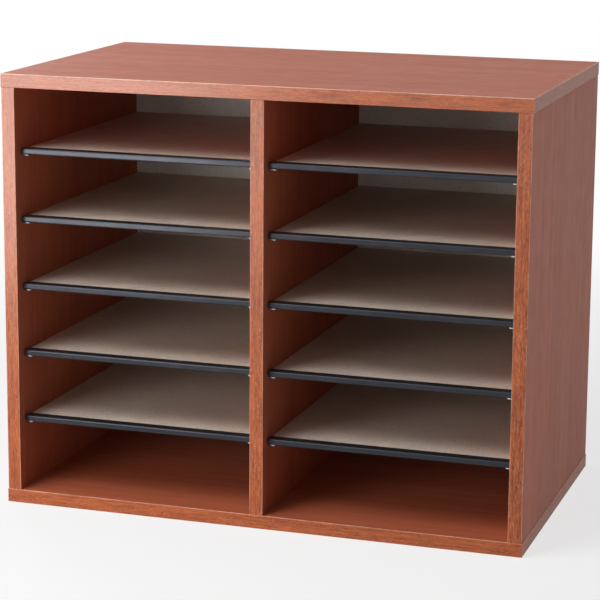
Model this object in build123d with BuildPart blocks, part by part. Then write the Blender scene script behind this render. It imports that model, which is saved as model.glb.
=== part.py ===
from build123d import *
import math
import os

# A free-standing literature organizer: a board case with two columns of loose shelves.
# Millimetres and degrees. +X to the right, +Y to the back, +Z up, origin at the centre of the underside.

# Case, outside sizes with the back panel and the edge bands
case_width = 495.3
case_depth = 298.45
case_height = 406.4

# Boards of the case
panel_thickness = 12.7
back_thickness = 3.2
back_margin = 1.5
band_thickness = 0.6
band_arris_share = 0.65

# Fluted dowels that join the uprights to the top and bottom panels
dowel_diameter = 6.35
dowel_length = 28.0
dowel_cover = 3.9
dowel_end_gap = 0.8
dowel_clearance = 0.05
dowel_setback = 55.0
dowels_per_joint = 2
dowel_flute_count = 10

# Staples that hold the back panel
staple_crown = 9.5
staple_leg = 16.0
staple_wire_width = 1.2
staple_wire_thickness = 0.9
staple_clearance = 0.05
staples_per_row = 5
staples_per_column = 3

# Shelves, each a thin board with a channel moulding on its front edge
shelves_per_column = 5
board_thickness = 3.2
shelf_recess = 10.0
shelf_end_gap = 1.3
shelf_rear_gap = 1.0
board_clearance = 0.05
moulding_web = 1.0
moulding_wall = 0.85
moulding_flange_depth = 11.0
moulding_corner_radius = 1.1
flange_tip_share = 0.35
grip_rib_height = 0.2
grip_rib_width = 0.9
grip_rib_place_shares = (0.35, 0.75)

# Bent wires that carry the shelves
wire_diameter = 2.2
wire_side_count = 8
wire_offset = 6.4
wire_bend_radius = 3.0
wire_chord_count = 3
wire_front_setback = 14.2
wire_rear_setback = 27.0
wire_hole_clearance = 0.1
wire_end_gap = 0.3
wire_meeting_gap = 1.1
seat_clearance = 0.05

# Angles
right_angle = 90
straight_angle = 2 * right_angle

# Case, worked out
front_y = -case_depth / 2
rear_y = case_depth / 2
panel_front_y = front_y + band_thickness
panel_rear_y = rear_y - back_thickness
panel_depth = panel_rear_y - panel_front_y
panel_mid_y = (panel_front_y + panel_rear_y) / 2
panel_width = case_width - 2 * band_thickness
upright_height = case_height - 2 * panel_thickness
upright_mid_z = case_height / 2
side_mid_x = (panel_width - panel_thickness) / 2
top_mid_z = case_height - panel_thickness / 2
bottom_mid_z = panel_thickness / 2
upright_joints = {panel_thickness: -1, case_height - panel_thickness: 1}
upright_places = {"left_side": -side_mid_x, "divider": 0, "right_side": side_mid_x}
band_arris = band_thickness * band_arris_share

# Columns, worked out
column_width = side_mid_x - panel_thickness
column_mid_x = side_mid_x / 2
column_places = {"left": -column_mid_x, "right": column_mid_x}
shelf_pitch = upright_height / (shelves_per_column + 1)

# Dowels, worked out
dowel_spacing = (panel_depth - 2 * dowel_setback) / (dowels_per_joint - 1)
dowel_radius = dowel_diameter / 2
dowel_hole_radius = dowel_radius + dowel_clearance
dowel_half_count = dowel_flute_count // 2
dowel_flute_angle = straight_angle / dowel_half_count
dowel_panel_hole = panel_thickness - dowel_cover
dowel_panel_depth = dowel_panel_hole - dowel_end_gap
dowel_upright_hole = dowel_length - dowel_panel_depth + dowel_end_gap
dowel_grid = (side_mid_x, dowel_spacing, len(upright_places), dowels_per_joint)

# Staples, worked out: rows on the top and bottom panels, columns on the uprights
staple_leg_gap = staple_crown - staple_wire_thickness
staple_slot_width = staple_wire_width + 2 * staple_clearance
staple_slot_thickness = staple_wire_thickness + 2 * staple_clearance
staple_slot_depth = staple_leg + staple_clearance
staple_row_spacing = (panel_width - panel_thickness) / staples_per_row
staple_row_gap = case_height - panel_thickness
staple_column_spacing = staple_row_gap / (staples_per_column + 1)
rear_centre = (0, rear_y, case_height / 2)
row_plane = Plane(origin=rear_centre, x_dir=(-1, 0, 0), z_dir=(0, 1, 0))
column_plane = Plane(origin=rear_centre, x_dir=(0, 0, 1), z_dir=(0, 1, 0))
staple_grids = (
    (row_plane, (staple_row_spacing, staple_row_gap, staples_per_row, len(upright_joints))),
    (column_plane, (staple_column_spacing, side_mid_x, staples_per_column, len(upright_places))),
)
inwards = (Align.CENTER, Align.CENTER, Align.MAX)

# Wires, worked out
wire_radius = wire_diameter / 2
wire_corner_radius = wire_radius / math.cos(math.pi / wire_side_count)
wire_hole_radius = wire_corner_radius + wire_hole_clearance
wire_embed = (panel_thickness - wire_meeting_gap) / 2
wire_hole_depth = wire_embed + wire_end_gap
wire_front_y = front_y + wire_front_setback
wire_rear_y = panel_rear_y - wire_rear_setback
wire_mid_y = (wire_front_y + wire_rear_y) / 2
wire_span = wire_rear_y - wire_front_y
wire_heights = [panel_thickness + shelf_pitch * step for step in range(1, shelves_per_column + 1)]

# Shelves, worked out. A shelf lies on the wires with its moulding at the front and its bare rear
# edge at the back, so it leans back by the thickness that the moulding adds below the board.
shelf_width = column_width - 2 * shelf_end_gap
moulding_slot = board_thickness + 2 * (grip_rib_height + board_clearance)
moulding_height = moulding_slot + 2 * moulding_wall
moulding_front_y = front_y + shelf_recess
flange_tip_chamfer = moulding_wall * flange_tip_share
board_front = moulding_web + board_clearance
board_rear = panel_rear_y - shelf_rear_gap - moulding_front_y
board_depth = board_rear - board_front
board_underside = (moulding_height - board_thickness) / 2
lean = math.atan2(board_underside, board_rear - moulding_flange_depth)
shelf_front_lift = moulding_flange_depth * math.sin(lean)


def write(piece, name):
    """Label a finished piece and write its file."""
    piece.part.label = name
    export_step(piece.part, f"parts/{name}.step")


def cut_dowel_holes(face, grid, depth):
    """Cut the dowel holes into a face. They have as many flat sides as a dowel has flutes."""
    with BuildSketch(face) as holes:
        with GridLocations(*grid):
            RegularPolygon(dowel_hole_radius, dowel_flute_count)
    extrude(holes.sketch, amount=-depth, mode=Mode.SUBTRACT)


def cut_staple_slots():
    """Cut the slots of the staples' legs into the board that is being built."""
    for plane, grid in staple_grids:
        with Locations(plane):
            with GridLocations(*grid):
                with GridLocations(staple_leg_gap, 0, 2, 1):
                    Box(
                        staple_slot_thickness,
                        staple_slot_width,
                        staple_slot_depth,
                        align=inwards,
                        mode=Mode.SUBTRACT,
                    )


def flat_panel(face_z, mid_z, face_direction):
    """The top or bottom panel, with the dowel holes in its inner face."""
    with BuildPart() as panel:
        with Locations((0, panel_mid_y, mid_z)):
            Box(panel_width, panel_depth, panel_thickness)
        inner_face = Plane(origin=(0, panel_mid_y, face_z), z_dir=(0, 0, face_direction))
        cut_dowel_holes(inner_face, dowel_grid, dowel_panel_hole)
        cut_staple_slots()
    return panel


def upright(mid_x):
    """The board of a side panel or the divider, with dowel holes in both ends."""
    with BuildPart() as panel:
        with Locations((mid_x, panel_mid_y, upright_mid_z)):
            Box(panel_thickness, panel_depth, upright_height)
        for end_z, end_direction in upright_joints.items():
            end_face = Plane(origin=(mid_x, panel_mid_y, end_z), z_dir=(0, 0, end_direction))
            cut_dowel_holes(end_face, (0, dowel_spacing, 1, dowels_per_joint), dowel_upright_hole)
        cut_staple_slots()
    return panel


def drilled_upright(board, face_x, face_direction, hole_depth):
    """An upright with the wire holes drilled into one face, or right through it."""
    face = Plane(origin=(face_x, wire_mid_y, upright_mid_z), x_dir=(0, 1, 0), z_dir=(face_direction, 0, 0))
    with BuildPart() as panel:
        add(board.part)
        with Locations(face):
            with GridLocations(wire_span, shelf_pitch, 2, shelves_per_column):
                Hole(wire_hole_radius, depth=hole_depth)
    return panel


def front_band(mid_x, mid_z, width, height, long_axis):
    """An edge strip on a front edge, with its long outer corners eased."""
    with BuildPart() as band:
        with Locations((mid_x, front_y + band_thickness / 2, mid_z)):
            Box(width, band_thickness, height)
        fillet(band.faces().sort_by(Axis.Y)[0].edges().filter_by(long_axis), band_arris)
    return band


def end_band(side, mid_z):
    """An edge strip on the left or right end of the top or bottom panel."""
    with BuildPart() as band:
        with Locations((side * (case_width - band_thickness) / 2, panel_mid_y, mid_z)):
            Box(band_thickness, panel_depth, panel_thickness)
        outer_face = band.faces().sort_by(Axis.X)[-1 if side > 0 else 0]
        fillet(outer_face.edges().filter_by(Axis.Y), band_arris)
    return band


def wire_bend(centre_x, centre_y, first_angle, turn):
    """The points of one bend, from where the wire starts to turn to where it is straight again."""
    points = []
    for step in range(wire_chord_count + 1):
        angle = math.radians(first_angle + turn * step / wire_chord_count)
        across = wire_bend_radius * math.cos(angle)
        along = wire_bend_radius * math.sin(angle)
        points.append((centre_x + across, centre_y + along))
    return points


def support_wire(wall_x, into_column, height):
    """A wire run along the depth, with both ends bent square into the wall."""
    inside_x = wall_x - into_column * wire_embed
    bend_x = wall_x + into_column * (wire_offset - wire_bend_radius)
    side_angle = 0 if into_column > 0 else straight_angle
    turn = into_column * right_angle
    front_bend = wire_bend(bend_x, wire_front_y + wire_bend_radius, -right_angle, turn)
    rear_bend = wire_bend(bend_x, wire_rear_y - wire_bend_radius, side_angle, turn)
    with BuildPart() as wire:
        with BuildLine(Plane.XY.offset(height)) as path:
            Polyline((inside_x, wire_front_y), *front_bend, *rear_bend, (inside_x, wire_rear_y))
        with BuildSketch(Plane(origin=path.line @ 0, x_dir=(0, 0, 1), z_dir=path.line % 0)):
            RegularPolygon(wire_corner_radius, wire_side_count, rotation=straight_angle / wire_side_count)
        sweep(path=path.line, transition=Transition.RIGHT)
    return wire


def shelf_plane(mid_x, height):
    """The underside of a moulding, from its front edge, leaning back on the wires."""
    seat = height + wire_radius + seat_clearance
    return Plane(
        origin=(mid_x, moulding_front_y, seat + shelf_front_lift),
        x_dir=(1, 0, 0),
        z_dir=(0, math.sin(lean), math.cos(lean)),
    )


def shelf_board(plane):
    """The thin board, from inside its moulding to just short of the back panel."""
    with BuildPart(plane) as board:
        with Locations((0, board_front + board_depth / 2, moulding_height / 2)):
            Box(shelf_width, board_depth, board_thickness)
    return board


def shelf_moulding(plane):
    """The channel on a shelf's front edge: a web, two flanges and the ribs that grip the board."""
    section = Plane(origin=plane.origin, x_dir=plane.y_dir, z_dir=plane.x_dir)
    with BuildPart() as moulding:
        with BuildSketch(section) as profile:
            Rectangle(moulding_flange_depth, moulding_height, align=Align.MIN)
            fillet(profile.vertices().group_by(Axis.X)[0], moulding_corner_radius)
            chamfer(profile.vertices().group_by(Axis.X)[-1], flange_tip_chamfer)
            with Locations((moulding_web, moulding_wall)):
                Rectangle(moulding_flange_depth, moulding_slot, align=Align.MIN, mode=Mode.SUBTRACT)
            for share in grip_rib_place_shares:
                rib_place = moulding_flange_depth * share
                for foot, rise in ((moulding_wall, 1), (moulding_wall + moulding_slot, -1)):
                    with BuildLine():
                        Polyline(
                            (rib_place, foot),
                            (rib_place + grip_rib_width, foot),
                            (rib_place, foot + rise * grip_rib_height),
                            close=True,
                        )
                    make_face()
        extrude(amount=shelf_width / 2, both=True)
    return moulding


os.makedirs("parts", exist_ok=True)

# The case: two flat panels, three uprights and the back
write(flat_panel(case_height - panel_thickness, top_mid_z, -1), "top_panel")
write(flat_panel(panel_thickness, bottom_mid_z, 1), "bottom_panel")
side_face_x = side_mid_x - panel_thickness / 2
write(drilled_upright(upright(-side_mid_x), -side_face_x, 1, wire_hole_depth), "left_side_panel")
write(drilled_upright(upright(side_mid_x), side_face_x, -1, wire_hole_depth), "right_side_panel")
write(drilled_upright(upright(0), panel_thickness / 2, 1, None), "centre_divider")

with BuildPart() as back_panel:
    with Locations((0, rear_y - back_thickness / 2, case_height / 2)):
        Box(panel_width - 2 * back_margin, back_thickness, case_height - 2 * back_margin)
    cut_staple_slots()
    for plane, grid in staple_grids:
        with Locations(plane):
            with GridLocations(*grid):
                Box(
                    staple_crown + 2 * staple_clearance,
                    staple_slot_width,
                    staple_wire_thickness,
                    align=inwards,
                    mode=Mode.SUBTRACT,
                )
write(back_panel, "back_panel")

# The edge bands
for name, mid_z in (("top", top_mid_z), ("bottom", bottom_mid_z)):
    write(front_band(0, mid_z, case_width, panel_thickness, Axis.X), f"{name}_front_band")
    write(end_band(-1, mid_z), f"{name}_left_band")
    write(end_band(1, mid_z), f"{name}_right_band")
for name, mid_x in upright_places.items():
    strip = front_band(mid_x, upright_mid_z, panel_thickness, upright_height, Axis.Z)
    write(strip, f"{name}_front_band")

# The dowels, each reaching its depth in the panel, with the rest in the upright's end
with BuildPart() as dowels:
    for joint_z, panel_direction in upright_joints.items():
        start_z = joint_z + panel_direction * dowel_panel_depth
        with BuildSketch(Plane.XY.offset(start_z)):
            with Locations((0, panel_mid_y)):
                with GridLocations(*dowel_grid):
                    RegularPolygon(dowel_radius, dowel_half_count)
                    RegularPolygon(dowel_radius, dowel_half_count, rotation=dowel_flute_angle)
        extrude(amount=-panel_direction * dowel_length)
write(dowels, "dowels")

# The staples, with their crowns flush in the back panel
with BuildPart() as staples:
    for plane, grid in staple_grids:
        with Locations(plane):
            with GridLocations(*grid):
                Box(staple_crown, staple_wire_width, staple_wire_thickness, align=inwards)
                with GridLocations(staple_leg_gap, 0, 2, 1):
                    Box(staple_wire_thickness, staple_wire_width, staple_leg, align=inwards)
write(staples, "back_panel_staples")

# The shelves and the wires under them, from the bottom up in each column
for column, mid_x in column_places.items():
    walls = {
        "left": (mid_x - column_width / 2, 1),
        "right": (mid_x + column_width / 2, -1),
    }
    for number, height in enumerate(wire_heights, start=1):
        plane = shelf_plane(mid_x, height)
        write(shelf_board(plane), f"shelf_board_{column}_{number}")
        write(shelf_moulding(plane), f"shelf_moulding_{column}_{number}")
        for wall, (wall_x, into_column) in walls.items():
            write(support_wire(wall_x, into_column, height), f"wire_{column}_column_{wall}_{number}")

print(f"case {case_width:.2f} x {case_depth:.2f} x {case_height:.2f} mm")
print(f"columns {column_width:.2f} mm wide, shelf pitch {shelf_pitch:.2f} mm")
print(f"moulding {moulding_height:.2f} mm high, shelf lean {math.degrees(lean):.3f} degrees")
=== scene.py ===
# %% [markdown]
# This desk organizer is a plain board case with two columns of thin, loose shelves. Its measured
# parts come ready made, as a frame of solids that is never moved or changed here. This lesson gives
# every part its finish, rounds the wires, and lights the case for its picture.

# %% Load the frame
import math

import bmesh
import bpy
from mathutils import Matrix, Vector


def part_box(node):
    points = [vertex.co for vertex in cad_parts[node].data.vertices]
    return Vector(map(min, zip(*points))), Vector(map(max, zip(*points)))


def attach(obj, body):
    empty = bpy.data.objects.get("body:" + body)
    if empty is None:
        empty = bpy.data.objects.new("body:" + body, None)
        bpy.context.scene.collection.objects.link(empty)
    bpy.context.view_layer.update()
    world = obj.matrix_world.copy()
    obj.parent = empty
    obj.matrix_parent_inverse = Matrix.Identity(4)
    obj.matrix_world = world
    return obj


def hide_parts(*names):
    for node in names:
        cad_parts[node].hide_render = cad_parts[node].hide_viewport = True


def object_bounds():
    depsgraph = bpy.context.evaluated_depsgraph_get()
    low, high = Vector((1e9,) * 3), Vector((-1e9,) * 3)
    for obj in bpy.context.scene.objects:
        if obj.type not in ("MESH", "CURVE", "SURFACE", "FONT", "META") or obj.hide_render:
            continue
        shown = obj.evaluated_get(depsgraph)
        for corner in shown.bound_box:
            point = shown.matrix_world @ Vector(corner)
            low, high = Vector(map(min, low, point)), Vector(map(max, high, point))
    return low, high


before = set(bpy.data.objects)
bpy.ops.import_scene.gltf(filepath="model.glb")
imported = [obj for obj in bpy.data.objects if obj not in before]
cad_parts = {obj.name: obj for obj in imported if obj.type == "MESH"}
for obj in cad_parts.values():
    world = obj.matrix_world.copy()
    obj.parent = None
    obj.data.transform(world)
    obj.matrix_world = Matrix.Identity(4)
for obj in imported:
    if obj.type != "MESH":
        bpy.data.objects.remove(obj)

cad_low, cad_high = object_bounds()
case_size = cad_high - cad_low
print("case in millimetres:", [round(1000 * side, 1) for side in case_size])

# %% [markdown]
# A finish is a small tree of shader nodes. Placing and linking nodes one by one takes many lines,
# so one helper adds a node and sets or links its inputs. A second one starts a finish with its
# principled shader, and a third links the patterns to that shader. Inputs are given by name, or by
# place where two of them share a name.

# %% Helpers that add nodes


def add_node(tree, kind, settings=None, inputs=None):
    """Add a shader node. An input that is given a socket is linked, any other is set."""
    made = tree.nodes.new("ShaderNode" + kind)
    for name, value in (settings or {}).items():
        setattr(made, name, value)
    for name, value in (inputs or {}).items():
        if isinstance(value, bpy.types.NodeSocket):
            tree.links.new(value, made.inputs[name])
        else:
            made.inputs[name].default_value = value
    return made


def start_finish(name):
    """A new material with only a principled shader and its output."""
    finish = bpy.data.materials.new(name)
    finish.use_nodes = True
    tree = finish.node_tree
    tree.nodes.clear()
    shader = add_node(tree, "BsdfPrincipled")
    add_node(tree, "OutputMaterial", inputs={"Surface": shader.outputs[0]})
    return finish, tree, shader


def set_surface(tree, shader, colour, roughness, shine=0.5):
    """Link the patterns of colour and roughness. The shine is the same all over, so it is set."""
    tree.links.new(colour, shader.inputs["Base Color"])
    tree.links.new(roughness, shader.inputs["Roughness"])
    shader.inputs["Specular IOR Level"].default_value = shine


print("helpers ready for Blender", bpy.app.version_string)

# %% [markdown]
# Most finishes need the same few steps: a sum, a blend of two colours, a value stretched to a new
# range, one part of a vector. Each could be written out where it is needed, but a helper for each
# keeps the finishes short enough to read as a recipe.

# %% Helpers for values
x_axis, y_axis, z_axis = range(3)


def add_maths(tree, operation, first, second=0.0):
    return add_node(tree, "Math", {"operation": operation}, {0: first, 1: second}).outputs[0]


def add_share(tree, base, extra, share):
    """The base value plus a share of the extra one."""
    return add_maths(tree, "ADD", base, add_maths(tree, "MULTIPLY", extra, share))


def blend_colours(tree, factor, first, second):
    """The first colour where the factor is 0, the second where it is 1."""
    settings = {"data_type": "RGBA", "clamp_factor": True}
    return add_node(tree, "Mix", settings, {0: factor, 6: first, 7: second}).outputs[2]


def stretch_range(tree, value, start, end, low=0.0, high=1.0):
    """Start to end becomes low to high, smoothly, and is held there beyond."""
    settings = {"interpolation_type": "SMOOTHSTEP"}
    inputs = {"Value": value, "From Min": start, "From Max": end, "To Min": low, "To Max": high}
    return add_node(tree, "MapRange", settings, inputs).outputs[0]


def vector_part(tree, vector, axis):
    return add_node(tree, "SeparateXYZ", inputs={0: vector}).outputs[axis]


def darker(colour, share):
    """A share of a colour, still opaque."""
    return [share * part for part in colour[:3]] + [1.0]


print("value helpers ready")

# %% [markdown]
# Wood is noise drawn out along the grain, so its helper takes the length and the width of a streak
# in metres. Films, clouds and specks are even noise. Most noise lies between 0.3 and 0.7, and a sum
# of two between 0.7 and 1.3, so those spans are what gets stretched. All patterns read Object
# coordinates, which stay with the piece, and a bump node turns them into fine relief as well.

# %% Helpers for patterns
streak_roughness = 0.6
noise_span = (0.3, 0.7)
two_noise_span = (0.7, 1.3)


def object_point(tree):
    return add_node(tree, "TexCoord").outputs["Object"]


def streaks(tree, point, long_axis, along, across, detail=3.0, start=0.0):
    """Noise in streaks of a length and a width in metres, drawn out along one axis."""
    scale = [1 / across] * 3
    scale[long_axis] = 1 / along
    shift = (start, start, start)
    placed = add_node(tree, "Mapping", inputs={"Vector": point, "Scale": scale, "Location": shift})
    inputs = {"Vector": placed.outputs[0], "Scale": 1.0, "Detail": detail}
    inputs["Roughness"] = streak_roughness
    return add_node(tree, "TexNoise", inputs=inputs).outputs[0]


def even_noise(tree, point, scale, detail, distortion=0.0):
    """Noise that is the same along every axis, with so many spots to a metre."""
    inputs = {"Vector": point, "Scale": scale, "Detail": detail, "Distortion": distortion}
    return add_node(tree, "TexNoise", inputs=inputs).outputs[0]


def add_bump(tree, shader, height, strength, distance):
    inputs = {"Height": height, "Strength": strength, "Distance": distance}
    bump = add_node(tree, "Bump", inputs=inputs)
    tree.links.new(bump.outputs[0], shader.inputs["Normal"])


print("pattern helpers ready")

# %% [markdown]
# The boards wear a printed cherry laminate: broad soft bands, narrow streaks, fine fibres and short
# dark pores, all low in contrast under a satin film. An image of wood would repeat and stretch, so
# the print is three layers of streaks and one of pores, blended between a dark and a light tone.
# The edge strips are printed coarser than the boards, so each figure lists its own streaks.

# %% The cherry print
board_figure = {
    "bands": (0.70, 0.050),
    "lines": (0.26, 0.0070),
    "fibres": (0.045, 0.0011),
    "pores": (0.011, 0.00045),
    "band_share": 1.0,
    "spread": 0.46,
    "pore_share": 0.25,
}
strip_figure = {
    "bands": (0.16, 0.011),
    "lines": (0.040, 0.0017),
    "fibres": (0.012, 0.0010),
    "pores": (0.0036, 0.0009),
    "band_share": 0.40,
    "spread": 0.38,
    "pore_share": 0.55,
}
lively_figure = {**strip_figure, "spread": 0.29, "pore_share": 0.80}
layer_details = {"bands": 2.0, "lines": 4.0, "fibres": 3.0, "pores": 1.0}
fibre_share = 0.6
pore_edges = (0.58, 0.70)
pore_darkness = 0.45


def cherry_print(tree, point, grain_axis, dark, light, figure, start=0.0):
    """The colour of the print, with its fibres and pores for the bump."""
    bands, lines, fibres, pores = [
        streaks(tree, point, grain_axis, *figure[layer], detail, start)
        for layer, detail in layer_details.items()
    ]
    pores = stretch_range(tree, pores, *pore_edges)
    tone = add_share(tree, lines, bands, figure["band_share"])
    tone = add_share(tree, tone, fibres, fibre_share)
    middle = (figure["band_share"] + 1 + fibre_share) / 2
    tone = stretch_range(tree, tone, middle - figure["spread"], middle + figure["spread"])
    colour = blend_colours(tree, tone, dark, light)
    pore_depth = add_maths(tree, "MULTIPLY", pores, figure["pore_share"])
    return blend_colours(tree, pore_depth, colour, darker(dark, pore_darkness)), fibres, pores


print("cherry print: pores", 1000 * strip_figure["pores"][0], "mm long on the strips")

# %% [markdown]
# On the rear edges the boards are raw chipboard, which the thin back panel leaves bare as a narrow
# rim. The saw cut is a plane, so the laminate finish turns to pressed flakes behind that plane.
# The laminate runs across the flat panels and up the uprights, so it is made once for each grain.

# %% Laminate boards
laminate_dark = (0.342, 0.078, 0.033, 1.0)
laminate_light = (0.480, 0.126, 0.060, 1.0)
laminate_roughness = (0.54, 0.60)
laminate_shine = 0.30
laminate_relief = {"strength": 0.12, "distance": 0.00006}
relief_fibre_share = 0.5
film_scale = 60.0
flake_dark = (0.300, 0.190, 0.105, 1.0)
flake_light = (0.620, 0.460, 0.290, 1.0)
flake_size = 0.0022
flake_dullness = 0.3
board_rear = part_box("top_panel")[1].y
cut_depth = 0.0001


def chipboard_colour(tree, point):
    flakes = add_node(tree, "TexVoronoi", inputs={"Vector": point, "Scale": 1 / flake_size})
    shade = vector_part(tree, flakes.outputs["Color"], x_axis)
    return blend_colours(tree, shade, flake_dark, flake_light)


def laminate_board(name, grain_axis):
    finish, tree, shader = start_finish(name)
    point = object_point(tree)
    tones = (laminate_dark, laminate_light)
    colour, fibres, pores = cherry_print(tree, point, grain_axis, *tones, board_figure)
    depth = vector_part(tree, point, y_axis)
    sawn = add_maths(tree, "GREATER_THAN", depth, board_rear - cut_depth)
    colour = blend_colours(tree, sawn, colour, chipboard_colour(tree, point))
    film = even_noise(tree, point, film_scale, detail=5.0)
    roughness = stretch_range(tree, film, *noise_span, *laminate_roughness)
    roughness = add_share(tree, roughness, sawn, flake_dullness)
    set_surface(tree, shader, colour, roughness, laminate_shine)
    raised = add_maths(tree, "MULTIPLY", fibres, relief_fibre_share)
    add_bump(tree, shader, add_maths(tree, "SUBTRACT", raised, pores), **laminate_relief)
    return finish


laminate_across = laminate_board("cherry_laminate_across", x_axis)
laminate_upright = laminate_board("cherry_laminate_upright", z_axis)
print("laminate: two grains of one print, chipboard behind", round(1000 * board_rear, 1), "mm")

# %% [markdown]
# A thin strip is ironed onto every edge that shows. It has the same cherry print with more
# contrast, always along its length, with pale flecks painted on as glints where light would catch
# its embossed pores. One finish for all would let the print run on from strip to strip, but each
# came from another place on the roll, so each has a finish with its own start.
# The strips of the divider and of the right side are livelier than the rest.

# %% Print and painted glints of the edge strips
strip_dark = (0.206, 0.036, 0.009, 1.0)
strip_light = (0.456, 0.106, 0.022, 1.0)
# The pale flecks are painted glints of light on the embossed pores.
glint_fleck_colour = (0.540, 0.215, 0.095, 1.0)
fleck_size = (0.0034, 0.0009)
fleck_edges = (0.54, 0.70)
glint_fleck_share = 0.34
lively_glint_fleck_share = 0.48
fleck_shift = 1.7
strips = sorted(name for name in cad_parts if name.endswith("_band"))
lively_strips = [name for name in strips if name.startswith(("divider_", "right_"))]


def strip_axes(node):
    """The axis along a strip, and the one across its broad face."""
    low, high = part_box(node)
    size = high - low
    across, along = sorted(range(3), key=lambda axis: size[axis])[1:]
    return along, across


def strip_print_and_glints(tree, point, node, along, start):
    """The colour of a strip with its painted glints, and its fibres and pores for the bump."""
    lively = node in lively_strips
    figure = lively_figure if lively else strip_figure
    tones = (strip_dark, strip_light)
    colour, fibres, pores = cherry_print(tree, point, along, *tones, figure, start)
    # Painted glints: pale flecks where light would catch the pores.
    glint_flecks = streaks(tree, point, along, *fleck_size, detail=1.0, start=start + fleck_shift)
    most = lively_glint_fleck_share if lively else glint_fleck_share
    glint_flecks = stretch_range(tree, glint_flecks, *fleck_edges, high=most)
    return blend_colours(tree, glint_flecks, colour, glint_fleck_colour), fibres, pores


print("edge strips:", len(strips), "with a livelier figure on", lively_strips)

# %% [markdown]
# The corners of a strip are trimmed with a file, which leaves them a little paler. On top of that,
# a painted highlight draws a light line round the top, where a rounded edge would catch the light.
# A bevelled edge could carry that line, but the parts keep their shapes, so the finish turns pale
# within a millimetre of the corner, part wear and part painted highlight. The strips on the two
# ends of a panel are rubbed duller than the one on its front.

# %% Edge strips
# Pale colour of the corners: part file wear, part painted highlight.
corner_wear_and_highlight_colour = (0.800, 0.530, 0.400, 1.0)
corner_width = 0.0010
wear_and_highlight_streak_size = (0.02, 0.004)
wear_and_highlight_streak_edges = (0.3, 0.6)
top_corner_wear_and_highlight = (0.45, 0.85)
other_corner_wear_and_highlight = (0.10, 0.40)
strip_roughness = (0.22, 0.32)
end_dullness = 0.20
strip_shine = 0.42
strip_relief = {"strength": 0.18, "distance": 0.00008}
roll_step = 5.3


def corner_wear_and_highlight(tree, point, node, along, across):
    """How pale a strip's corners are, from wear and a painted highlight: both if it stands, the
    upper one if it lies.
    """
    low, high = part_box(node)
    middle = (low[across] + high[across]) / 2
    half_width = (high[across] - low[across]) / 2
    offset = add_maths(tree, "SUBTRACT", vector_part(tree, point, across), middle)
    if along == z_axis:
        offset = add_maths(tree, "ABSOLUTE", offset)
    corner = stretch_range(tree, offset, half_width - corner_width, half_width)
    # The upper corner of a top strip gets the strongest painted highlight, where the light falls on
    # it.
    corner_wear_and_highlight_range = top_corner_wear_and_highlight if node.startswith("top_") else other_corner_wear_and_highlight
    wear_and_highlight_streaks = streaks(tree, point, along, *wear_and_highlight_streak_size)
    wear_and_highlight_streaks = stretch_range(tree, wear_and_highlight_streaks, *wear_and_highlight_streak_edges, *corner_wear_and_highlight_range)
    return add_maths(tree, "MULTIPLY", corner, wear_and_highlight_streaks)


def edge_strip(node, start):
    finish, tree, shader = start_finish("cherry_edge_" + node)
    point = object_point(tree)
    along, across = strip_axes(node)
    colour, fibres, pores = strip_print_and_glints(tree, point, node, along, start)
    wear = corner_wear_and_highlight(tree, point, node, along, across)
    # The pale corners are part wear and part painted highlight.
    colour = blend_colours(tree, wear, colour, corner_wear_and_highlight_colour)
    dullness = end_dullness if along == y_axis else 0.0
    rough_range = [roughness + dullness for roughness in strip_roughness]
    roughness = stretch_range(tree, fibres, *noise_span, *rough_range)
    set_surface(tree, shader, colour, roughness, strip_shine)
    add_bump(tree, shader, add_maths(tree, "SUBTRACT", fibres, pores), **strip_relief)
    return finish


strip_finishes = {node: edge_strip(node, roll_step * place) for place, node in enumerate(strips)}
print("strip finishes:", len(strip_finishes))

# %% [markdown]
# The shelves and the back are hardboard, wood fibre pressed hard and smooth on one face. The other
# face is raw, and keeps the weave of the wire screen that it was pressed on. The weave is two
# crossed waves, which make even dimples with no image, and the felt is streaks that lie both ways
# over each other, with distorted noise for the hairs between them.

# %% Fibres of the hardboard
screen_pitch = 0.0018
felt_fibre = (0.010, 0.0007)
hair_scale = 620.0
hair_curl = 2.2


def screen_weave(tree, point, face_axes):
    """The dimples of the press screen, from two crossed waves."""
    waves = []
    for axis in face_axes:
        place = vector_part(tree, point, axis)
        phase = add_maths(tree, "MULTIPLY", place, 2 * math.pi / screen_pitch)
        waves.append(add_maths(tree, "SINE", phase))
    return add_maths(tree, "MULTIPLY", *waves)


def felted_fibres(tree, point, face_axes):
    """Fibres that lie both ways over each other, with hairs that lie any way."""
    ways = [streaks(tree, point, axis, *felt_fibre) for axis in face_axes]
    felt = add_maths(tree, "MAXIMUM", *ways)
    hairs = even_noise(tree, point, hair_scale, detail=3.0, distortion=hair_curl)
    return add_maths(tree, "ADD", felt, hairs)


print("hardboard: screen pitch", 1000 * screen_pitch, "mm")

# %% [markdown]
# Felted fibres, faint clouds and dark specks make the colour of hardboard. The smooth face is tan
# on the shelves and greyer on the back, and the raw face is darker than both. A flat colour would
# look like painted metal, so the fibres blend a dark and a light tone of each face.

# %% Colour of the hardboard
shelf_tones = ((0.59, 0.485, 0.410, 1.0), (0.79, 0.665, 0.570, 1.0))
back_tones = ((0.58, 0.545, 0.495, 1.0), (0.74, 0.705, 0.650, 1.0))
raw_tones = ((0.25, 0.155, 0.090, 1.0), (0.44, 0.305, 0.195, 1.0))
cloud_share = 0.4
felt_span = (0.98, 1.52)
speck_scale = 340.0
speck_edges = (0.66, 0.74)
speck_share = 0.4
speck_darkness = 0.4


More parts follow.
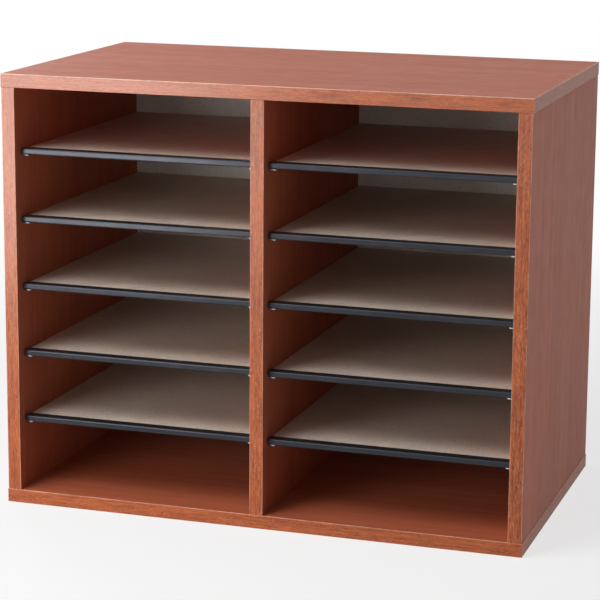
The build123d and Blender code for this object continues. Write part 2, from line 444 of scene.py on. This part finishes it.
def hardboard_colour(tree, point, fibres, cloud, raw_face, smooth_tones):
    tone = stretch_range(tree, add_share(tree, fibres, cloud, cloud_share), *felt_span)
    tones = [blend_colours(tree, raw_face, *pair) for pair in zip(smooth_tones, raw_tones)]
    colour = blend_colours(tree, tone, *tones)
    specks = even_noise(tree, point, speck_scale, detail=2.0)
    specks = stretch_range(tree, specks, *speck_edges, high=speck_share)
    return blend_colours(tree, specks, colour, darker(raw_tones[0], speck_darkness))


print("hardboard tones: shelf", shelf_tones[1][:3], "back", back_tones[1][:3])

# %% [markdown]
# A second material on the raw faces would need those faces picked out one by one. The side that a
# surface faces can pick the tones as well, so one finish serves both faces of a board. The raw face
# is duller too, and the weave shows in its relief.

# %% Hardboard
facing_limit = 0.5
cloud_scale = 30.0
cloud_span = (0.35, 0.65)
hardboard_roughness = (0.50, 0.60)
raw_dullness = 0.2
hardboard_shine = 0.35
felt_relief_share = 0.3
hardboard_relief = {"strength": 0.20, "distance": 0.00012}


def hardboard(name, smooth_tones, raw_axis, raw_sign):
    """Pressed fibre, raw and with the screen's weave on the face that points along one axis."""
    finish, tree, shader = start_finish(name)
    point = object_point(tree)
    face_axes = [axis for axis in range(3) if axis != raw_axis]
    facing = vector_part(tree, add_node(tree, "TexCoord").outputs["Normal"], raw_axis)
    facing = add_maths(tree, "MULTIPLY", facing, raw_sign)
    raw_face = add_maths(tree, "GREATER_THAN", facing, facing_limit)
    fibres = felted_fibres(tree, point, face_axes)
    cloud = even_noise(tree, point, cloud_scale, detail=6.0)
    colour = hardboard_colour(tree, point, fibres, cloud, raw_face, smooth_tones)
    roughness = stretch_range(tree, cloud, *cloud_span, *hardboard_roughness)
    roughness = add_share(tree, roughness, raw_face, raw_dullness)
    set_surface(tree, shader, colour, roughness, hardboard_shine)
    weave = add_maths(tree, "MULTIPLY", screen_weave(tree, point, face_axes), raw_face)
    relief = add_share(tree, weave, fibres, felt_relief_share)
    add_bump(tree, shader, relief, **hardboard_relief)
    return finish


shelf_finish = hardboard("shelf_hardboard", shelf_tones, z_axis, -1.0)
back_finish = hardboard("back_hardboard", back_tones, y_axis, 1.0)
print("hardboard finishes:", shelf_finish.name, "and", back_finish.name)

# %% [markdown]
# Each shelf's front edge wears a channel of black plastic, extruded in long lengths. Extrusion
# leaves hair-fine lines along the length, and handling leaves the gloss a little uneven. The
# moulding is almost black, so what shows is mostly reflection, and the roughness matters more than
# the colour.

# %% Black moulding
moulding_dark = (0.010, 0.012, 0.016, 1.0)
moulding_light = (0.020, 0.023, 0.029, 1.0)
moulding_roughness = (0.16, 0.28)
moulding_shine = 0.29
moulding_tint = (0.90, 0.91, 1.0, 1.0)
moulding_relief = {"strength": 0.10, "distance": 0.00005}
extrusion_line = (0.5, 0.0006)
handling_scale = 45.0


def black_moulding(name):
    finish, tree, shader = start_finish(name)
    point = object_point(tree)
    lines = streaks(tree, point, x_axis, *extrusion_line, detail=2.0)
    handling = even_noise(tree, point, handling_scale, detail=5.0)
    colour = blend_colours(tree, handling, moulding_dark, moulding_light)
    gloss = add_maths(tree, "ADD", lines, handling)
    roughness = stretch_range(tree, gloss, *two_noise_span, *moulding_roughness)
    set_surface(tree, shader, colour, roughness, moulding_shine)
    shader.inputs["Specular Tint"].default_value = moulding_tint
    add_bump(tree, shader, lines, **moulding_relief)
    return finish


moulding_finish = black_moulding("black_moulding")
print("moulding finish:", moulding_finish.name)

# %% [markdown]
# The shelf supports are plated wire and the staples plain galvanised wire. Drawn wire has fine
# lines along it, and the plating is slightly cloudy. Strong colours would make it look painted, but
# metal shows its surroundings, so lines and clouds go mostly into the roughness.

# %% Wire and staples
wire_tones = ((0.30, 0.30, 0.31, 1.0), (0.44, 0.44, 0.45, 1.0))
wire_roughness = (0.18, 0.32)
staple_tones = ((0.42, 0.42, 0.42, 1.0), (0.60, 0.60, 0.61, 1.0))
staple_roughness = (0.32, 0.5)
plating_scale = 160.0
drawn_line = (0.06, 0.0005)
metal_relief = {"strength": 0.08, "distance": 0.00004}


def drawn_metal(name, tones, rough_range):
    finish, tree, shader = start_finish(name)
    point = object_point(tree)
    plating = even_noise(tree, point, plating_scale, detail=4.0)
    lines = streaks(tree, point, y_axis, *drawn_line)
    colour = blend_colours(tree, plating, *tones)
    wear = add_maths(tree, "ADD", plating, lines)
    roughness = stretch_range(tree, wear, *two_noise_span, *rough_range)
    set_surface(tree, shader, colour, roughness)
    shader.inputs["Metallic"].default_value = 1.0
    add_bump(tree, shader, lines, **metal_relief)
    return finish


wire_finish = drawn_metal("plated_wire", wire_tones, wire_roughness)
staple_finish = drawn_metal("galvanised_staple", staple_tones, staple_roughness)
print("metal finishes:", wire_finish.name, "and", staple_finish.name)

# %% [markdown]
# The dowels are bare beech and only show when the case is taken apart. A plain colour would be
# enough for a hidden part, but a single layer of short streaks costs little and looks like wood.

# %% Dowels
beech_dark = (0.44, 0.29, 0.16, 1.0)
beech_light = (0.66, 0.48, 0.30, 1.0)
beech_grain = (0.02, 0.0007)
beech_roughness = (0.55, 0.7)
beech_relief = {"strength": 0.2, "distance": 0.0001}


def bare_beech(name):
    finish, tree, shader = start_finish(name)
    grain = streaks(tree, object_point(tree), z_axis, *beech_grain)
    colour = blend_colours(tree, grain, beech_dark, beech_light)
    roughness = stretch_range(tree, grain, *noise_span, *beech_roughness)
    set_surface(tree, shader, colour, roughness)
    add_bump(tree, shader, grain, **beech_relief)
    return finish


dowel_finish = bare_beech("bare_beech")
print("dowel finish:", dowel_finish.name)

# %% [markdown]
# The measured parts keep their shapes and only change their finish. Each could be named in a long
# list, but the start of a name says what a shelf's parts and the wires are, so a short table is
# enough to dress them all.

# %% Dress the measured parts
finish_of = {
    "top_panel": laminate_across,
    "bottom_panel": laminate_across,
    "left_side_panel": laminate_upright,
    "right_side_panel": laminate_upright,
    "centre_divider": laminate_upright,
    "back_panel": back_finish,
    "back_panel_staples": staple_finish,
    "dowels": dowel_finish,
    **strip_finishes,
}
finish_of_kind = {
    "shelf_board": shelf_finish,
    "shelf_moulding": moulding_finish,
    "wire_": wire_finish,
}
for name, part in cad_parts.items():
    for kind, finish in finish_of_kind.items():
        if name.startswith(kind):
            finish_of[name] = finish
    part.data.materials.clear()
    part.data.materials.append(finish_of[name])
print("dressed", len(finish_of), "parts in", len(set(finish_of.values())), "finishes")

# %% [markdown]
# Wire that carries a shelf is bent from one round length: a leg in the wall, a quarter bend, a long
# run, and the same back again. The solids have flat sides and wide bends, so each wire is made
# again as a round one with tight bends, which catch the light as small dots. A curve with a round
# bevel would do, but extruding a circle and spinning it round the bends follows how wire is bent.

# %% Extrude and spin a ring
bend_steps = 10


def edges_of(geometry):
    return [part for part in geometry if isinstance(part, bmesh.types.BMEdge)]


def pull(mesh, edges, along):
    """Extrude a ring of edges along a vector and return the new ring."""
    made = bmesh.ops.extrude_edge_only(mesh, edges=edges)["geom"]
    corners = [part for part in made if isinstance(part, bmesh.types.BMVert)]
    bmesh.ops.translate(mesh, verts=corners, vec=along)
    moved = set(corners)
    return [edge for edge in edges_of(made) if set(edge.verts) <= moved]


def bend(mesh, edges, centre, angle):
    """Spin a ring of edges round an upright axis and return the ring at its end."""
    spun = bmesh.ops.spin(
        mesh,
        geom=edges,
        cent=centre,
        axis=(0, 0, 1),
        angle=angle,
        steps=bend_steps,
        use_merge=False,
    )
    return edges_of(spun["geom_last"])


print("a quarter bend takes", bend_steps, "steps")

# %% [markdown]
# A wire's place and thickness are read from its solid, so the round wire stays true to the frame.
# Its ring starts in the wall, is pulled out to the first bend, spun, pulled along the run, and goes
# back into the wall the same way. Merging the doubled points joins these stretches into one tube.

# %% Bend a wire
wire_bend_radius = 0.0018
ring_sides = 20
merge_share = 0.01


def wire_tube(mesh, node):
    """An open tube where the node is, on the wall that the node's name gives."""
    low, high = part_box(node)
    radius = (high.z - low.z) / 2
    into = 1 if "_column_left_" in node else -1
    wall_end = low.x if into > 0 else high.x
    run_x = (high.x if into > 0 else low.x) - into * radius
    front_y = low.y + radius
    rear_y = high.y - radius
    bend_x = run_x - into * wire_bend_radius
    turn = into * math.pi / 2
    start = Matrix.Translation((wall_end, front_y, (low.z + high.z) / 2))
    stand = start @ Matrix.Rotation(math.pi / 2, 4, "Y")
    ring = bmesh.ops.create_circle(
        mesh, cap_ends=False, segments=ring_sides, radius=radius, matrix=stand
    )
    edges = list({edge for corner in ring["verts"] for edge in corner.link_edges})
    edges = pull(mesh, edges, Vector((bend_x - wall_end, 0, 0)))
    edges = bend(mesh, edges, (bend_x, front_y + wire_bend_radius, low.z), turn)
    edges = pull(mesh, edges, Vector((0, rear_y - front_y - 2 * wire_bend_radius, 0)))
    edges = bend(mesh, edges, (bend_x, rear_y - wire_bend_radius, low.z), turn)
    pull(mesh, edges, Vector((wall_end - bend_x, 0, 0)))
    bmesh.ops.remove_doubles(mesh, verts=mesh.verts, dist=merge_share * radius)


print("a ring has", ring_sides, "sides, and a bend", 1000 * wire_bend_radius, "mm of radius")

# %% [markdown]
# The two ends are capped and slightly chamfered, as a cutter leaves them. All wires could be one
# mesh, but as separate pieces each stands for its own solid. They ride on the case, which holds
# them when a shelf is drawn out.

# %% Round wires
end_chamfer = 0.0003
chamfer_steps = 2
sharp_angle = math.radians(35)


def cap_ends(mesh):
    ends = [edge for edge in mesh.edges if edge.is_boundary]
    bmesh.ops.holes_fill(mesh, edges=ends, sides=0)
    bmesh.ops.bevel(
        mesh,
        geom=ends,
        offset=end_chamfer,
        segments=chamfer_steps,
        profile=0.5,
        affect="EDGES",
        material=-1,
    )
    bmesh.ops.recalc_face_normals(mesh, faces=mesh.faces)


def bent_wire(node):
    mesh = bmesh.new()
    wire_tube(mesh, node)
    cap_ends(mesh)
    data = bpy.data.meshes.new("round_" + node)
    mesh.to_mesh(data)
    mesh.free()
    data.shade_smooth()
    data.set_sharp_from_angle(angle=sharp_angle)
    data.materials.append(wire_finish)
    return bpy.data.objects.new("round_" + node, data)


wires = sorted(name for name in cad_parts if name.startswith("wire_"))
for name in wires:
    piece = bent_wire(name)
    bpy.context.scene.collection.objects.link(piece)
    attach(piece, "cabinet")
    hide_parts(name)
print("round wires:", len(wires), "of", len(piece.data.polygons), "faces each")

# %% [markdown]
# The case stands on a white sweep. The floor keeps a soft shadow near the case and turns to plain
# white further out, so the picture has no horizon. It shines only for rays that come from the
# camera, a mirror or glass. Every other ray meets a plain pale floor, which gives soft fill light.

# %% Finish of the floor
floor_grey = (0.80, 0.80, 0.80, 1.0)
floor_roughness = 0.9
floor_shine = 0.1
plain_white = (1.0, 1.0, 1.0, 1.0)
white_strength = 1.0
shadow_radius = 0.55
clear_radius = 1.5
shadow_share = 0.28


def seen_directly(tree):
    """1 for rays from the camera, from a mirror and through glass, and 0 for the rest."""
    path = add_node(tree, "LightPath")
    seen = add_maths(tree, "MAXIMUM", path.outputs["Is Camera Ray"], path.outputs["Is Glossy Ray"])
    return add_maths(tree, "MAXIMUM", seen, path.outputs["Is Transmission Ray"])


def mix_shaders(tree, factor, first, second):
    """The first shader where the factor is 0, the second where it is 1."""
    inputs = {0: factor, 1: first.outputs[0], 2: second.outputs[0]}
    return add_node(tree, "MixShader", inputs=inputs)


def floor_finish():
    finish, tree, shader = start_finish("white_sweep")
    shader.inputs["Base Color"].default_value = floor_grey
    shader.inputs["Roughness"].default_value = floor_roughness
    shader.inputs["Specular IOR Level"].default_value = floor_shine
    distance = add_node(tree, "VectorMath", {"operation": "LENGTH"}, {0: object_point(tree)})
    fade = (shadow_radius, clear_radius, 1 - shadow_share, 1.0)
    white = stretch_range(tree, distance.outputs["Value"], *fade)
    glow = add_node(tree, "Emission", inputs={"Color": plain_white, "Strength": white_strength})
    share = add_maths(tree, "MULTIPLY", white, seen_directly(tree))
    mixed = mix_shaders(tree, share, shader, glow)
    output = next(made for made in tree.nodes if made.type == "OUTPUT_MATERIAL")
    tree.links.new(mixed.outputs[0], output.inputs["Surface"])
    return finish


print("floor: shadow out to", shadow_radius, "m, plain white from", clear_radius, "m")

# %% [markdown]
# The floor could have any shape, since it is as white as the world before it ends. A disc ends at
# the same distance on every side. It lies a hair's breadth under the case, because two faces in one
# plane would flicker.

# %% Floor
floor_radius = 14.0
floor_sides = 96
floor_drop = 0.0003

mesh = bmesh.new()
sink = Matrix.Translation((0, 0, cad_low.z - floor_drop))
bmesh.ops.create_circle(
    mesh, cap_ends=True, segments=floor_sides, radius=floor_radius, matrix=sink
)
floor_data = bpy.data.meshes.new("floor")
mesh.to_mesh(floor_data)
mesh.free()
floor_data.materials.append(floor_finish())
floor = bpy.data.objects.new("floor", floor_data)
bpy.context.scene.collection.objects.link(floor)
print("floor radius", floor_radius, "m")

# %% [markdown]
# The light is a soft box low on the front left, which gives the left edges their pale sheen, and a
# wide soft box above the front for the top and the shelves. A faint one beside the first carries
# its sheen on along the top edge. A weak one by the camera reaches the back of the case, one behind
# on the left lifts the top, and a faint one on the right lifts the right side without shining into
# the columns. Bare lamps would throw hard shadows of the shelves, so all six are boxes.

# %% Soft boxes
middle = (cad_low + cad_high) / 2


def soft_box(name, place, width, height, power):
    """A lamp of a width and a height in metres and a power in watts, aimed at the case."""
    lamp = bpy.data.lights.new(name, "AREA")
    lamp.shape = "RECTANGLE"
    lamp.size = width
    lamp.size_y = height
    lamp.energy = power
    made = bpy.data.objects.new(name, lamp)
    made.location = place
    made.rotation_euler = (middle - Vector(place)).to_track_quat("-Z", "Y").to_euler()
    made.visible_camera = False
    bpy.context.scene.collection.objects.link(made)


soft_box("key_front_left", (-0.60, -1.00, 0.27), width=0.52, height=0.46, power=6.8)
soft_box("key_spill", (-0.065, -1.00, 0.31), width=0.37, height=0.20, power=0.37)
soft_box("top_front", (-0.85, -0.95, 1.65), width=1.4, height=1.0, power=24.5)
soft_box("fill_front", (0.95, -2.50, 0.45), width=1.2, height=0.7, power=2.2)
soft_box("rim_back_left", (-1.00, 0.75, 0.85), width=0.6, height=0.6, power=3.8)
soft_box("side_right", (1.70, 0.35, 0.60), width=0.9, height=0.9, power=1.6)
print("lamps:", len(bpy.data.lights))

# %% [markdown]
# A white world fills in the rest. Rays that are seen directly meet a world of strength 1, which is
# white, and other rays a dimmer one. A brighter world for all rays would wash out the shadows in
# the columns.

# %% World
world_fill = 0.12


def even_sky(tree, strength):
    return add_node(tree, "Background", inputs={"Color": plain_white, "Strength": strength})


world = bpy.data.worlds.new("studio")
world.use_nodes = True
bpy.context.scene.world = world
sky = world.node_tree
sky.nodes.clear()
fill = even_sky(sky, world_fill)
backdrop = even_sky(sky, white_strength)
shown = mix_shaders(sky, seen_directly(sky), fill, backdrop)
add_node(sky, "OutputWorld", inputs={"Surface": shown.outputs[0]})
bpy.context.scene.view_settings.view_transform = "Standard"
print("world fill", world_fill)

# %% [markdown]
# The camera stands to the right and above, two metres off, with a long lens. Its place and turn
# were found by matching the corners of the case. The picture was framed with the optical axis a
# little above the middle, so the lens is shifted by that much. Aiming the camera with a constraint
# would be shorter, but it would leave out the slight roll.

# %% Camera
image_pixels = 600
focal_pixels = 2232.0
axis_row = 252
sensor = 36.0
camera_place = Vector((0.6371, -1.9910, 0.6489))
camera_azimuth = math.radians(17.946)
camera_elevation = math.radians(11.351)
camera_roll = math.radians(0.412)

ahead = Vector((-math.sin(camera_azimuth), math.cos(camera_azimuth), 0))
ahead = ahead * math.cos(camera_elevation)
ahead.z = -math.sin(camera_elevation)
right = ahead.cross(Vector((0, 0, 1))).normalized()
up = right.cross(ahead)
turned_right = right * math.cos(camera_roll) + up * math.sin(camera_roll)
turned_up = up * math.cos(camera_roll) - right * math.sin(camera_roll)
stand = Matrix((turned_right, turned_up, -ahead)).transposed().to_4x4()
stand.translation = camera_place

lens = bpy.data.cameras.new("camera")
lens.sensor_width = sensor
lens.lens = focal_pixels * sensor / image_pixels
lens.shift_y = (axis_row - image_pixels / 2) / image_pixels
camera = bpy.data.objects.new("camera", lens)
camera.matrix_world = stand
bpy.context.scene.collection.objects.link(camera)
bpy.context.scene.camera = camera
print("camera: lens", round(lens.lens, 1), "mm, shift", round(lens.shift_y, 3))
